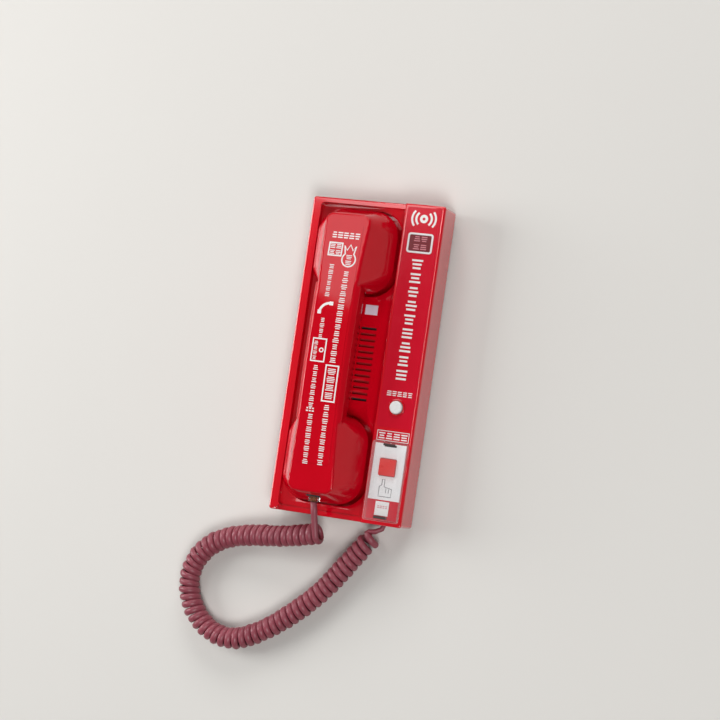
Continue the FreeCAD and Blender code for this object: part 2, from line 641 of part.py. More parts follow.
def push_switch(x, y, size, travel):
    """A push switch on the board: its plunger stays just under the button's stem."""
    body = rounded_block(x, y, size, size, BOARD_TOP, switch_top(travel) - 0.6, 0.8)
    top = rod(x, y, size * 0.45, switch_top(travel) - 0.6, switch_top(travel))
    return joined([body, top])


def spring_seat(x, y, size, travel):
    """The upright ring on the switch that carries the button's spring."""
    return ring(x, y, size, size * 0.5, switch_top(travel) - 0.6, switch_top(travel))


def white_plate():
    """The white instruction plate around the fire button."""
    y1 = COVER_Y1 - COVER_WALL - GAP
    y0 = y1 - WHITE_PLATE_LENGTH
    plate = box(COVER_X0 + COVER_WALL + GAP, COVER_X1 - COVER_WALL - GAP, y0, y1, PANEL_Z,
                PANEL_Z + PLATE_THICK)
    return plate.cut(latch_slots() + [fire_button_hole(GAP, PANEL_Z - 1, PANEL_Z + 2)])


def red_plate():
    """The red plate under the white one."""
    y1 = COVER_Y1 - COVER_WALL - GAP - WHITE_PLATE_LENGTH
    y0 = COVER_Y0 + COVER_WALL + GAP
    plate = box(COVER_X0 + COVER_WALL + GAP, COVER_X1 - COVER_WALL - GAP, y0, y1, PANEL_Z,
                PANEL_Z + PLATE_THICK)
    return plate.cut(latch_slots())


def name_plate():
    """A blank plate on the red one."""
    y1 = COVER_Y1 - COVER_WALL - GAP - WHITE_PLATE_LENGTH - 1.0
    y0 = COVER_Y0 + LATCH_FROM_END + LATCH_L / 2 + 0.6
    return box(BUTTON_X - 4.9, BUTTON_X + 4.9, y0, y1, PANEL_Z + PLATE_THICK, PANEL_Z + PLATE_THICK + 0.3)


def title_plate():
    """The framed title strip above the clear cover."""
    y0 = COVER_Y1 + GAP
    return rounded_box(COVER_X0 + 0.6, COVER_X1 - 0.6, y0, y0 + TITLE_LENGTH, PANEL_Z, PANEL_Z + 0.3, 1.4)


def protective_cover():
    """The clear cover over the fire button: a shallow box held by two tongues."""
    z1 = PANEL_Z + COVER_HEIGHT
    outer = rounded_box(COVER_X0, COVER_X1, COVER_Y0, COVER_Y1, PANEL_Z, z1, 1.5)
    room = rounded_box(COVER_X0 + COVER_WALL, COVER_X1 - COVER_WALL, COVER_Y0 + COVER_WALL,
                       COVER_Y1 - COVER_WALL,
                       PANEL_Z - 1, z1 - COVER_WALL, 0.5)
    tongues = []
    for y in (COVER_Y0 + LATCH_FROM_END, COVER_Y1 - LATCH_FROM_END):
        tongues.append(block(LATCH_X, y, LATCH_W - 2 * GAP, LATCH_L - 2 * GAP, PANEL_Z - LATCH_DEEP,
                             z1 - COVER_WALL / 2))
    return joined([outer.cut(room)] + tongues)


# --- cradle pieces ---

def status_lens():
    """The pale window set flush in the cradle floor."""
    lens = block(GRILLE_X, STATUS_Y, STATUS_WIDTH - 2 * TOUCH, STATUS_LENGTH - 2 * TOUCH,
                 FLOOR_Z - WALL, FLOOR_Z + 0.1)
    flange = block(GRILLE_X, STATUS_Y, STATUS_WIDTH + 2.0, STATUS_LENGTH + 2.0, FLOOR_Z - WALL - 1.0,
                   FLOOR_Z - WALL)
    return joined([lens, flange])


def status_led():
    return led(GRILLE_X, STATUS_Y, 3.0, REAR_DEPTH + 2.6, FLOOR_Z - WALL - 1.4)


def cradle_pads():
    """Four soft pads in the pockets that the cups rest on."""
    pads = []
    for y in (EAR_Y, MIC_Y):
        for dx in (-RECEIVER_D / 2 - 2.0, RECEIVER_D / 2 + 2.0):
            pads.append(rod(MID_X + dx, y, 5.0, POCKET_FLOOR, CUP_BASE_RISE))
    return Part.makeCompound(pads)


def ringer_speaker():
    """The flat speaker behind the grille."""
    length = GRILLE_PITCH * (GRILLE_SLOTS - 1) + 2.0
    frame = rounded_block(GRILLE_X, GRILLE_MID_Y, GRILLE_WIDTH + 5.0, length, FLOOR_Z - WALL - 3.4,
                          FLOOR_Z - WALL - 0.8, 3.0)
    magnet = rounded_block(GRILLE_X, GRILLE_MID_Y, GRILLE_WIDTH, length * 0.5, REAR_DEPTH + 1.0,
                           FLOOR_Z - WALL - 3.4, 2.0)
    return joined([frame, magnet])


def speaker_gasket():
    length = GRILLE_PITCH * (GRILLE_SLOTS - 1) + 2.0
    z0, z1 = FLOOR_Z - WALL - 0.8, FLOOR_Z - WALL
    outer = rounded_block(GRILLE_X, GRILLE_MID_Y, GRILLE_WIDTH + 5.0, length, z0, z1, 3.0)
    return outer.cut(rounded_block(GRILLE_X, GRILLE_MID_Y, GRILLE_WIDTH + 1.0, length - 4.0, z0 - 1,
                                   z1 + 1, 1.0))


def hook_switch_body():
    """The hook switch under the cradle floor, with a well for its plunger."""
    z0, z1 = REAR_DEPTH - WALL + 0.5, FLOOR_Z - WALL - 0.4
    body = rounded_block(MID_X, PLUNGER_Y, 11.0, 13.0, z0, z1, 1.0)
    well = block(MID_X, PLUNGER_Y, PLUNGER_W + 2.4, PLUNGER_W + 2.4, z0 + 1.5, z1 + 1)
    return body.cut(well)


def hook_plunger():
    """The plunger that the handle holds down. It rises when the handset is lifted."""
    bottom = REAR_DEPTH - WALL + 2.0
    collar = block(MID_X, PLUNGER_Y, PLUNGER_W + 1.8, PLUNGER_W + 1.8, bottom + 4.4, bottom + 6.4)
    stem = block(MID_X, PLUNGER_Y, PLUNGER_W, PLUNGER_W, bottom + 4.4,
                 arched(HANDLE_UNDER_RISE, PLUNGER_Y) - 0.3)
    return joined([collar, stem])


def hook_spring():
    """A stack of spring washers under the plunger's collar."""
    bottom = REAR_DEPTH - WALL + 2.0
    thick, pitch, count = 0.5, 0.94, 5
    washers = [ring(MID_X, PLUNGER_Y, 5.4, 3.2, bottom + i * pitch, bottom + i * pitch + thick)
               for i in range(count)]
    return Part.makeCompound(washers)


# --- electronics ---

def main_board():
    board = box(BOARD_X0, BOARD_X1, BOARD_Y0, BOARD_Y1, BOARD_Z, BOARD_TOP)
    return board.cut([rod(x, y, TRAY_SCREW_D + 0.4, BOARD_Z - 1, BOARD_TOP + 1) for x, y in POST_XY])


def board_screws():
    screws = []
    for x, y in POST_XY:
        head = rod(x, y, SCREW_HEAD_D, BOARD_TOP, BOARD_TOP + SCREW_HEAD)
        shank = rod(x, y, TRAY_SCREW_D, BOARD_TOP - 5.0, BOARD_TOP)
        screws.append(joined([head, shank]))
    return Part.makeCompound(screws)


def line_transformer():
    core = block(BUTTON_X, 24.0, 14.0, 17.0, BOARD_TOP, BOARD_TOP + 11.0)
    bobbin = block(BUTTON_X, 24.0, 18.0, 11.0, BOARD_TOP + 2.0, BOARD_TOP + 9.0)
    return joined([core, bobbin])


def relays():
    return Part.makeCompound([block(BUTTON_X, y, 15.0, 10.0, BOARD_TOP, BOARD_TOP + 10.0)
                              for y in (0.0, 44.0)])


def capacitors():
    return Part.makeCompound([rod(BUTTON_X + dx, 60.0, 6.3, BOARD_TOP, BOARD_TOP + 11.0)
                              for dx in (-5.0, 5.0)])


def logic_chips():
    return Part.makeCompound([block(BUTTON_X, y, 7.6, 18.0, BOARD_TOP, BOARD_TOP + 2.6)
                              for y in (-51.0, -14.0)])


def terminal_block():
    """The line terminals, reached through the cable entry."""
    x, y = LEFT + 16.5, 0.0
    body = block(x, y, 10.0, 30.0, WALL, WALL + 9.5)
    wells = [rod(x, y + dy, 4.2, WALL + 5.5, WALL + 10.0) for dy in TERMINAL_PLACES]
    return body.cut(wells)


TERMINAL_PLACES = (-10.5, -3.5, 3.5, 10.5)


def terminal_screws():
    x, y = LEFT + 16.5, 0.0
    return Part.makeCompound([rod(x, y + dy, 4.0, WALL + 5.5, WALL + 9.0) for dy in TERMINAL_PLACES])


def base_jack():
    """The modular jack that the curly cord plugs into, inside the lower wall."""
    z0, z1 = SOCKET_Z - JACK_H / 2, SOCKET_Z + JACK_H / 2
    body = block(SOCKET_X, BASE_JACK_Y + JACK_L / 2, JACK_W, JACK_L, z0, z1)
    foot = block(SOCKET_X, BASE_JACK_Y + JACK_L / 2, JACK_W - 2.0, JACK_L, WALL, z0)
    cavity = block(SOCKET_X, BASE_JACK_Y, JACK_W - 2 * JACK_WALL, 2 * (PLUG_IN + 0.5), z0 + JACK_WALL,
                   z1 - JACK_WALL)
    return joined([body, foot]).cut(cavity)


# --- cord ---

def coil_point(from_middle, from_bottom, z):
    """A point of the coil's route, from the handset's middle line and the case's lower end."""
    return v(MID_X + from_middle, BOTTOM + from_bottom, z)


COIL = [
    coil_point(1.85, -11.9, 20.7), coil_point(-21.75, -18.0, 17.0), coil_point(-46.75, -20.0, 11.8),
    coil_point(-70.75, -24.5, 8.4), coil_point(-88.75, -35.5, 7.9), coil_point(-97.75, -55.0, 7.9),
    coil_point(-92.75, -76.0, 7.9), coil_point(-77.75, -92.0, 7.9), coil_point(-56.75, -97.0, 7.9),
    coil_point(-34.25, -86.5, 7.9), coil_point(-12.75, -70.0, 7.9), coil_point(6.25, -51.5, 7.9),
    coil_point(22.25, -29.0, 7.9), coil_point(36.65, -8.6, 7.9),
]
LEAD_END = COIL[0] + v(-2.45, 6.1, 4.4)
HANDSET_LEAD = [
    v(MID_X, HANDSET_PLUG_END, HANDSET_JACK_Z),
    v(MID_X - 0.1, (HANDSET_PLUG_END + LEAD_END.y) / 2, HANDSET_JACK_Z - 3.6),
    LEAD_END,
]
BASE_LEAD = [
    v(SOCKET_X, BASE_JACK_Y - BASE_PLUG_OUT, SOCKET_Z),
    v(SOCKET_X - 0.8, BASE_JACK_Y - BASE_PLUG_OUT - 7.4, SOCKET_Z - 1.2),
    COIL[-1] + v(5.0, -2.4, 1.1),
]


def turn_radius(before, here, after):
    """The largest arc that the two runs at a point of the route allow."""
    shorter = min((here - before).Length, (after - here).Length)
    half_turn = (here - before).getAngle(after - here) / 2
    return 0.45 * shorter / math.tan(half_turn)


def cord_tube(name, route, diameter):
    """A round tube along straight runs joined by tangent arcs."""
    edges = []
    start = route[0]
    radii = []
    for before, here, after in zip(route, route[1:], route[2:]):
        radius = turn_radius(before, here, after)
        radii.append(round(radius, 1))
        into = (here - before).normalize()
        out = (after - here).normalize()
        half_turn = into.getAngle(out) / 2
        reach = radius * math.tan(half_turn)
        arc_start = here - into * reach
        arc_end = here + out * reach
        inward = (out - into).normalize()
        middle = here + inward * (radius / math.cos(half_turn) - radius)
        edges.append(Part.makeLine(start, arc_start))
        edges.append(Part.Arc(arc_start, middle, arc_end).toShape())
        start = arc_end
    edges.append(Part.makeLine(start, route[-1]))
    path = Part.Wire(edges)
    section = Part.Wire([Part.makeCircle(diameter / 2, route[0], route[1] - route[0])])
    tube = path.makePipeShell([section], True, False)
    expected = math.pi * diameter ** 2 / 4 * path.Length
    print(name, "length", round(path.Length, 1), "radii", radii, "volume ratio",
          round(tube.Volume / expected, 4))
    return tube


def handset_rest_nodes():
    save("handset_outer_shell", handset_outer_shell())
    save("handset_inner_shell", handset_inner_shell())
    save("handset_screws", handset_screws())
    save("handset_label", handset_label())
    save("receiver_capsule", receiver_capsule())
    save("receiver_gasket", receiver_gasket())
    save("microphone_capsule", microphone_capsule())
    save("microphone_grommet", microphone_grommet())
    save("balance_weight", balance_weight())
    save("handset_jack", handset_jack())
    save("handset_plug", modular_plug(MID_X, HANDSET_JACK_Y, HANDSET_JACK_Z, PLUG_OUT))


def case_nodes():
    save("front_housing", front_housing())
    save("rear_cover", rear_cover())
    save("case_screws", case_screws())
    save("panel_overlay", panel_overlay())
    save("lamp_frame", lamp_frame())
    save("lamp_window", lamp_window())
    save("lamp_leds", lamp_leds())
    save("white_plate", white_plate())
    save("red_plate", red_plate())
    save("name_plate", name_plate())
    save("title_plate", title_plate())
    save("protective_cover", protective_cover())
    save("status_lens", status_lens())
    save("status_led", status_led())
    save("cradle_pads", cradle_pads())
    save("ringer_speaker", ringer_speaker())
    save("speaker_gasket", speaker_gasket())


def button_nodes():
    save("call_button_ring", call_button_ring())
    save("call_button_cap", call_button_cap())
    save("call_button_spring", call_button_spring())
    save("call_button_switch", push_switch(BUTTON_X, CALL_Y, CALL_SWITCH, CALL_TRAVEL))
    save("call_spring_seat", spring_seat(BUTTON_X, CALL_Y, CALL_SWITCH, CALL_TRAVEL))
    save("fire_button_cap", fire_button_cap())
    save("fire_button_spring", fire_button_spring())
    save("fire_button_switch", push_switch(BUTTON_X, FIRE_Y, FIRE_SWITCH, FIRE_TRAVEL))
    save("fire_spring_seat", spring_seat(BUTTON_X, FIRE_Y, FIRE_SWITCH, FIRE_TRAVEL))
    save("hook_switch_body", hook_switch_body())
    save("hook_plunger", hook_plunger())
    save("hook_spring", hook_spring())


def electronics_nodes():
    save("main_board", main_board())
    save("board_screws", board_screws())
    save("line_transformer", line_transformer())
    save("relays", relays())
    save("capacitors", capacitors())
    save("logic_chips", logic_chips())
    save("terminal_block", terminal_block())
    save("terminal_screws", terminal_screws())
    save("base_jack", base_jack())
    save("base_plug", modular_plug(SOCKET_X, BASE_JACK_Y, SOCKET_Z, BASE_PLUG_OUT))


def cord_nodes():
    save("cord_lead_handset", cord_tube("cord_lead_handset", HANDSET_LEAD, LEAD_D))
    save("cord_coil", cord_tube("cord_coil", COIL, COIL_D))
    save("cord_lead_base", cord_tube("cord_lead_base", BASE_LEAD, LEAD_D))


os.makedirs("parts", exist_ok=True)
case_nodes()
button_nodes()
electronics_nodes()
handset_rest_nodes()
cord_nodes()
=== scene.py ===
import math
import random

import bmesh
import bpy
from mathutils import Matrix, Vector


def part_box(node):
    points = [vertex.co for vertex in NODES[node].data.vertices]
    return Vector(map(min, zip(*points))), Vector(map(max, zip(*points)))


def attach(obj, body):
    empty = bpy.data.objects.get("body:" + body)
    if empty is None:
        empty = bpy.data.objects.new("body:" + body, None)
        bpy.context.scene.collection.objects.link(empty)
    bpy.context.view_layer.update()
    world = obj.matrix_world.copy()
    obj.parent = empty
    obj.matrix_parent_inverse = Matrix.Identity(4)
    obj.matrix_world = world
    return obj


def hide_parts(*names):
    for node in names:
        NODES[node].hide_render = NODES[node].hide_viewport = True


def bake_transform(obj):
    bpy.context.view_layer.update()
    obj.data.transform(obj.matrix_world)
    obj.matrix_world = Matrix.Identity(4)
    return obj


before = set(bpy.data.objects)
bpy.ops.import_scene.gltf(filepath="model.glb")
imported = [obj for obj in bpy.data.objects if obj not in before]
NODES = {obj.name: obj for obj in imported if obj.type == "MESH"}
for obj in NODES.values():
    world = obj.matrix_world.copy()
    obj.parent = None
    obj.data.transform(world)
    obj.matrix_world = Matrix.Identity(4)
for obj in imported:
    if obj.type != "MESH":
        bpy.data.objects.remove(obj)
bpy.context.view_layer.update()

MM = 0.001
random.seed(7)


# --- camera ---

CAMERA_PLACE = Vector((461.8, -74.7, 1253.6)) * MM
CAMERA_TURN = (6.252, 19.805, 8.735)
CAMERA_LENS = 95.0


def make_camera():
    data = bpy.data.cameras.new("camera")
    data.lens = CAMERA_LENS
    data.sensor_width = 36.0
    data.clip_start = 0.05
    camera = bpy.data.objects.new("camera", data)
    camera.location = CAMERA_PLACE
    camera.rotation_euler = [math.radians(a) for a in CAMERA_TURN]
    bpy.context.collection.objects.link(camera)
    bpy.context.scene.camera = camera


make_camera()


# --- shader building ---

class Shader:
    """A node material with short ways to add texture nodes and to wire them."""

    def __init__(self, name, color=(0.8, 0.8, 0.8), rough=0.4, **sockets):
        self.material = bpy.data.materials.new(name)
        self.material.use_nodes = True
        self.tree = self.material.node_tree
        self.bsdf = self.tree.nodes["Principled BSDF"]
        self.bsdf.inputs["Base Color"].default_value = (*color, 1.0)
        self.bsdf.inputs["Roughness"].default_value = rough
        self.material.diffuse_color = (*color, 1.0)
        for socket, value in sockets.items():
            self.bsdf.inputs[socket.replace("_", " ")].default_value = value

    def add(self, kind, **values):
        node = self.tree.nodes.new(kind)
        for key, value in values.items():
            if key in node.inputs:
                node.inputs[key].default_value = value
            else:
                setattr(node, key, value)
        return node

    def link(self, a, b):
        self.tree.links.new(a, b)

    def noise(self, scale, detail=3.0, stretch=None):
        """A noise value in the object's own space, in features per metre."""
        place = self.add("ShaderNodeTexCoord")
        texture = self.add("ShaderNodeTexNoise", Scale=scale, Detail=detail)
        source = place.outputs["Object"]
        if stretch is not None:
            mapping = self.add("ShaderNodeMapping", Scale=stretch)
            self.link(source, mapping.inputs["Vector"])
            source = mapping.outputs["Vector"]
        self.link(source, texture.inputs["Vector"])
        return texture.outputs["Fac"]

    def ramp(self, value, low, high, start=0.3, end=0.7):
        """The value turned into a colour between low and high."""
        ramp = self.add("ShaderNodeValToRGB")
        ramp.color_ramp.elements[0].position = start
        ramp.color_ramp.elements[0].color = (*low, 1.0)
        ramp.color_ramp.elements[1].position = end
        ramp.color_ramp.elements[1].color = (*high, 1.0)
        self.link(value, ramp.inputs["Fac"])
        return ramp.outputs["Color"]

    def span(self, value, low, high):
        """The value's 0.3-0.7 range mapped to low-high."""
        span = self.add("ShaderNodeMapRange")
        span.inputs["From Min"].default_value = 0.3
        span.inputs["From Max"].default_value = 0.7
        span.inputs["To Min"].default_value = low
        span.inputs["To Max"].default_value = high
        self.link(value, span.inputs["Value"])
        return span.outputs["Result"]

    def vary(self, low, high, scale, detail=3.0):
        self.link(self.ramp(self.noise(scale, detail), low, high), self.bsdf.inputs["Base Color"])
        return self

    def rough(self, low, high, scale, stretch=None):
        value = self.span(self.noise(scale, 5.0, stretch), low, high)
        self.link(value, self.bsdf.inputs["Roughness"])
        return self

    def bump(self, scale, height, strength=1.0, stretch=None):
        bump = self.add("ShaderNodeBump", Strength=strength, Distance=height)
        self.link(self.noise(scale, 2.0, stretch), bump.inputs["Height"])
        previous = self.bsdf.inputs["Normal"]
        if previous.is_linked:
            self.link(previous.links[0].from_socket, bump.inputs["Normal"])
        self.link(bump.outputs["Normal"], previous)
        return self


def gloss_plastic(name, color, dark, rough=0.16, coat=0.2, specular=0.5):
    """Moulded glossy plastic: faint flow marks, orange peel and handling haze."""
    shader = Shader(name, color, rough, Specular_IOR_Level=specular, Coat_Weight=coat, Coat_Roughness=0.05)
    shader.vary(dark, color, 28.0)
    shader.rough(rough * 0.8, rough * 1.3, 60.0)
    shader.bump(420.0, 0.00002, 0.2)
    return shader.material


def matte_plastic(name, color, dark, rough=0.5, grain=1800.0):
    """Moulded plastic with a fine spark-eroded grain."""
    shader = Shader(name, color, rough)
    shader.vary(dark, color, 40.0)
    shader.rough(rough * 0.8, min(1.0, rough * 1.25), 150.0)
    shader.bump(grain, 0.00004, 0.5)
    return shader.material


def metal(name, color, rough, stretch=(1.0, 12.0, 1.0)):
    """Drawn or plated metal with fine lines."""
    shader = Shader(name, color, rough, Metallic=1.0)
    shader.rough(rough * 0.6, rough * 1.6, 500.0, stretch)
    shader.bump(900.0, 0.00001, 0.4, stretch)
    return shader.material


def clear_plastic(name, tint, rough=0.05):
    shader = Shader(name, tint, rough, Transmission_Weight=1.0, IOR=1.49)
    shader.rough(rough * 0.5, rough * 2.0, 90.0)
    shader.bump(60.0, 0.00002, 0.15)
    return shader.material


def clear_sheet(name, tint, face_alpha, edge_alpha):
    """Thin clear plastic: nearly invisible face on, pale at its edges."""
    shader = Shader(name, tint, 0.06, IOR=1.49)
    layer = shader.add("ShaderNodeLayerWeight", Blend=0.4)
    span = shader.add("ShaderNodeMapRange")
    span.inputs["To Min"].default_value = face_alpha
    span.inputs["To Max"].default_value = edge_alpha
    shader.link(layer.outputs["Facing"], span.inputs["Value"])
    shader.link(span.outputs["Result"], shader.bsdf.inputs["Alpha"])
    shader.rough(0.04, 0.10, 90.0)
    shader.bump(60.0, 0.00002, 0.15)
    return shader.material


RED = (0.66, 0.0008, 0.012)
RED_DARK = (0.60, 0.0005, 0.009)
HANDSET_RED = (0.56, 0.0004, 0.010)
HANDSET_RED_DARK = (0.51, 0.0003, 0.008)

CASE_RED = gloss_plastic("case_red", RED, RED_DARK, 0.10, 1.0)
HANDSET_GLOSS = gloss_plastic("handset_red", HANDSET_RED, HANDSET_RED_DARK, 0.07, 0.0, 0.34)
OVERLAY_RED = matte_plastic("overlay_red", (0.60, 0.004, 0.022), (0.56, 0.003, 0.018), 0.13, 900.0)
PRINT_WHITE = matte_plastic("print_white", (0.82, 0.80, 0.79), (0.76, 0.74, 0.73), 0.45)
PRINT_GREY = matte_plastic("print_grey", (0.22, 0.21, 0.22), (0.17, 0.16, 0.17), 0.45)
PLATE_WHITE = matte_plastic("plate_white", (0.86, 0.85, 0.85), (0.82, 0.81, 0.81), 0.28, 700.0)
BUTTON_WHITE = gloss_plastic("button_white", (0.80, 0.80, 0.79), (0.75, 0.75, 0.74), 0.25)
BUTTON_RED = matte_plastic("button_red", (0.78, 0.022, 0.016), (0.72, 0.016, 0.012), 0.30, 700.0)
LAMP_RED = gloss_plastic("lamp_dark_red", (0.20, 0.022, 0.030), (0.15, 0.012, 0.018), 0.22)
LENS_PALE = gloss_plastic("frosted_lens", (0.80, 0.72, 0.82), (0.74, 0.66, 0.76), 0.30)
CLEAR = clear_sheet("clear_acrylic", (0.90, 0.90, 0.91), 0.01, 0.5)
PRINT_PINK = matte_plastic("print_pink", (0.62, 0.22, 0.25), (0.56, 0.18, 0.21), 0.4)
SPEAKER_RED = matte_plastic("speaker_cloth", (0.60, 0.02, 0.025), (0.52, 0.015, 0.02), 0.7)
# Painted shade: the near-black of the latch shadows on the cover and of the cross recesses in the screw
# heads.
SHADE_DARK = matte_plastic("painted_shade", (0.05, 0.03, 0.03), (0.04, 0.025, 0.025), 0.6)
CLEAR_PLUG = clear_plastic("clear_plug", (0.93, 0.91, 0.92), 0.12)
CORD = matte_plastic("cord_maroon", (0.30, 0.062, 0.085), (0.235, 0.045, 0.065), 0.42, 1400.0)
REAR = matte_plastic("rear_cover_red", (0.30, 0.003, 0.010), (0.25, 0.002, 0.008), 0.5)
BLACK = matte_plastic("black_plastic", (0.022, 0.022, 0.024), (0.015, 0.015, 0.016), 0.5)
NATURAL = matte_plastic("natural_plastic", (0.68, 0.66, 0.60), (0.62, 0.60, 0.54), 0.5)
RUBBER = matte_plastic("black_rubber", (0.02, 0.02, 0.02), (0.03, 0.03, 0.03), 0.75)
BOARD = matte_plastic("board_green", (0.02, 0.13, 0.05), (0.015, 0.10, 0.04), 0.35)
STEEL = metal("zinc_steel", (0.62, 0.62, 0.63), 0.30)
BRASS = metal("terminal_brass", (0.72, 0.52, 0.22), 0.30)
LED_CLEAR = clear_plastic("led_clear", (0.98, 0.80, 0.80), 0.1)
GOLD = metal("contact_gold", (0.83, 0.62, 0.25), 0.2)


# --- mesh building ---

def new_object(name, mesh, material, body="base"):
    """A piece that rides on a body."""
    obj = bpy.data.objects.new(name, mesh)
    bpy.context.collection.objects.link(obj)
    mesh.materials.clear()
    mesh.materials.append(material)
    if body is not None:
        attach(obj, body)
    return obj


def from_bmesh(name, bm, material, body="base", smooth=True):
    mesh = bpy.data.meshes.new(name)
    bmesh.ops.recalc_face_normals(bm, faces=bm.faces)
    bm.to_mesh(mesh)
    bm.free()
    for face in mesh.polygons:
        face.use_smooth = smooth
    return new_object(name, mesh, material, body)


def apply_modifiers(obj):
    """Replaces the object's mesh by its modified mesh."""
    graph = bpy.context.evaluated_depsgraph_get()
    mesh = bpy.data.meshes.new_from_object(obj.evaluated_get(graph))
    obj.modifiers.clear()
    obj.data = mesh


def smooth_by_angle(mesh, degrees):
    """Smooth faces, with sharp edges where the surface turns by more than the angle."""
    for face in mesh.polygons:
        face.use_smooth = True
    mesh.set_sharp_from_angle(angle=math.radians(degrees))


# --- cord: the route, repeated from the design in metres ---

MID_X = -12.25
HANDSET_PLUG_END = -101.7
HANDSET_JACK_Z = 34.7
SOCKET_X = 33.55
SOCKET_Z = 12.0
PLUG_FACE_Y = -108.0

HANDSET_LEAD = [
    (MID_X, HANDSET_PLUG_END, HANDSET_JACK_Z),
    (MID_X - 0.1, HANDSET_PLUG_END - 7.55, HANDSET_JACK_Z - 3.6),
]
COIL = [
    (-10.4, -122.9, 20.7), (-34.0, -129.0, 17.0), (-59.0, -131.0, 11.8), (-83.0, -135.5, 8.4),
    (-101.0, -146.5, 7.9), (-110.0, -166.0, 7.9), (-105.0, -187.0, 7.9), (-90.0, -203.0, 7.9),
    (-69.0, -208.0, 7.9), (-46.5, -197.5, 7.9), (-25.0, -181.0, 7.9), (-6.0, -162.5, 7.9),
    (10.0, -140.0, 7.9), (24.4, -119.6, 7.9),
]
BASE_LEAD = [
    (SOCKET_X - 0.8, PLUG_FACE_Y - 7.4, SOCKET_Z - 1.2),
    (SOCKET_X, PLUG_FACE_Y, SOCKET_Z),
]
CORD_WIDTH = 4.8
CORD_THICK = 3.7
COIL_WIDTH = 15.2
COIL_PITCH = 5.1
POINTS_PER_TURN = 16
WANDER = (0.03, 0.02)        # shares of the coil's radius by which it wanders
WANDER_RATE = (0.37, 0.113)  # how fast each wander goes, against the turns
LOOSE_TURNS = 2.4            # turns at the base end that open up
LOOSE_SHARE = 0.75           # how much further apart the last of them is
NEAREST_POINTS = 0.01


def nurbs_points(name, points, detail):
    """Points along the NURBS spline with these control points, in metres."""
    curve = bpy.data.curves.new(name, "CURVE")
    curve.dimensions = "3D"
    curve.resolution_u = detail
    spline = curve.splines.new("NURBS")
    spline.points.add(len(points) - 1)
    for point, place in zip(spline.points, points):
        point.co = (*place, 1.0)
    spline.order_u = 3
    spline.use_endpoint_u = True
    obj = bpy.data.objects.new(name, curve)
    bpy.context.collection.objects.link(obj)
    mesh = bpy.data.meshes.new_from_object(obj)
    found = [vertex.co.copy() for vertex in mesh.vertices]
    bpy.data.objects.remove(obj)
    bpy.data.meshes.remove(mesh)
    bpy.data.curves.remove(curve)
    return found


def lengths_along(points):
    """The distance of each point from the first, along the line."""
    total = 0.0
    found = [0.0]
    for a, b in zip(points, points[1:]):
        total += (b - a).length
        found.append(total)
    return found


def place_on(points, distances, distance):
    """(place, direction) at a distance along the line."""
    i = 1
    while i < len(points) - 1 and distances[i] < distance:
        i += 1
    a, b = points[i - 1], points[i]
    share = (distance - distances[i - 1]) / (distances[i] - distances[i - 1])
    return a.lerp(b, share), (b - a).normalized()


def helix_points(axis):
    """Control points of the curly part, each with the direction of the route: looser at the base end."""
    distances = lengths_along(axis)
    total = distances[-1]
    radius = (COIL_WIDTH - CORD_THICK) / 2 * MM
    found = []
    distance = 0.0
    angle = 0.0
    while distance < total:
        centre, along = place_on(axis, distances, distance)
        side = along.cross(Vector((0, 0, 1))).normalized()
        up = side.cross(along).normalized()
        wander = WANDER[0] * math.sin(angle * WANDER_RATE[0])
        wander += WANDER[1] * math.sin(angle * WANDER_RATE[1] + 1.0)
        swell = 1.0 / math.cos(math.pi / POINTS_PER_TURN)
        r = radius * swell * (1.0 + wander)
        found.append((centre + (up * math.cos(angle) - side * math.sin(angle)) * r, along))
        left = total - distance
        loose = 1.0 + LOOSE_SHARE * max(0.0, 1.0 - left / (LOOSE_TURNS * COIL_PITCH * MM))
        angle += 2 * math.pi / POINTS_PER_TURN
        distance += COIL_PITCH * MM * loose * (1.0 + 0.5 * wander) / POINTS_PER_TURN
    return found


def flat_tube(name, path, wide_ways, widths, sides=12):
    """A closed tube round the path: widths[0] along each point's wide way, widths[1] across it."""
    bm = bmesh.new()
    rings = []
    across = wide_ways[0]
    for i, place in enumerate(path):
        before = path[max(0, i - 1)]
        after = path[min(len(path) - 1, i + 1)]
        along = (after - before).normalized()
        wanted = wide_ways[i] if wide_ways[i].dot(across) >= 0 else -wide_ways[i]
        across = across.lerp(wanted, 0.3)
        across = (across - along * across.dot(along)).normalized()
        other = along.cross(across)
        ring = []
        for k in range(sides):
            turn = 2 * math.pi * k / sides
            offset = across * math.cos(turn) * widths[0] / 2 + other * math.sin(turn) * widths[1] / 2
            ring.append(bm.verts.new(place + offset))
        rings.append(ring)
    for a, b in zip(rings, rings[1:]):
        for k in range(sides):
            n = (k + 1) % sides
            bm.faces.new((a[k], a[n], b[n], b[k]))
    bm.faces.new(rings[0][::-1])
    bm.faces.new(rings[-1])
    mesh = bpy.data.meshes.new(name)
    bmesh.ops.recalc_face_normals(bm, faces=bm.faces)
    bm.to_mesh(mesh)
    bm.free()
    for face in mesh.polygons:
        face.use_smooth = True
    return mesh


def in_metres(points):
    return [Vector(p) * MM for p in points]


def make_cord():
    axis = nurbs_points("coil_axis", in_metres(COIL), 12)
    sideways = Vector((1, 0, 0))
    marked = [(p, sideways) for p in in_metres(HANDSET_LEAD)]
    marked += helix_points(axis)
    marked += [(p, sideways) for p in in_metres(BASE_LEAD)]
    line = nurbs_points("cord_line", [p for p, _ in marked], 2)
    path = line[:1] + [b for a, b in zip(line, line[1:]) if (b - a).length > NEAREST_POINTS * MM]
    ways = [marked[min(len(marked) - 1, i * len(marked) // len(path))][1] for i in range(len(path))]
    width = CORD_WIDTH * MM
    mesh = flat_tube("curly_cord", path, ways, (width, CORD_THICK * MM))
    cord = new_object("curly_cord", mesh, CORD, None)
    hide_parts("cord_lead_handset", "cord_coil", "cord_lead_base")
    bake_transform(cord)
    print("cord length", round(lengths_along(path)[-1], 3))


make_cord()


# --- handset: one rounded body over both shells ---

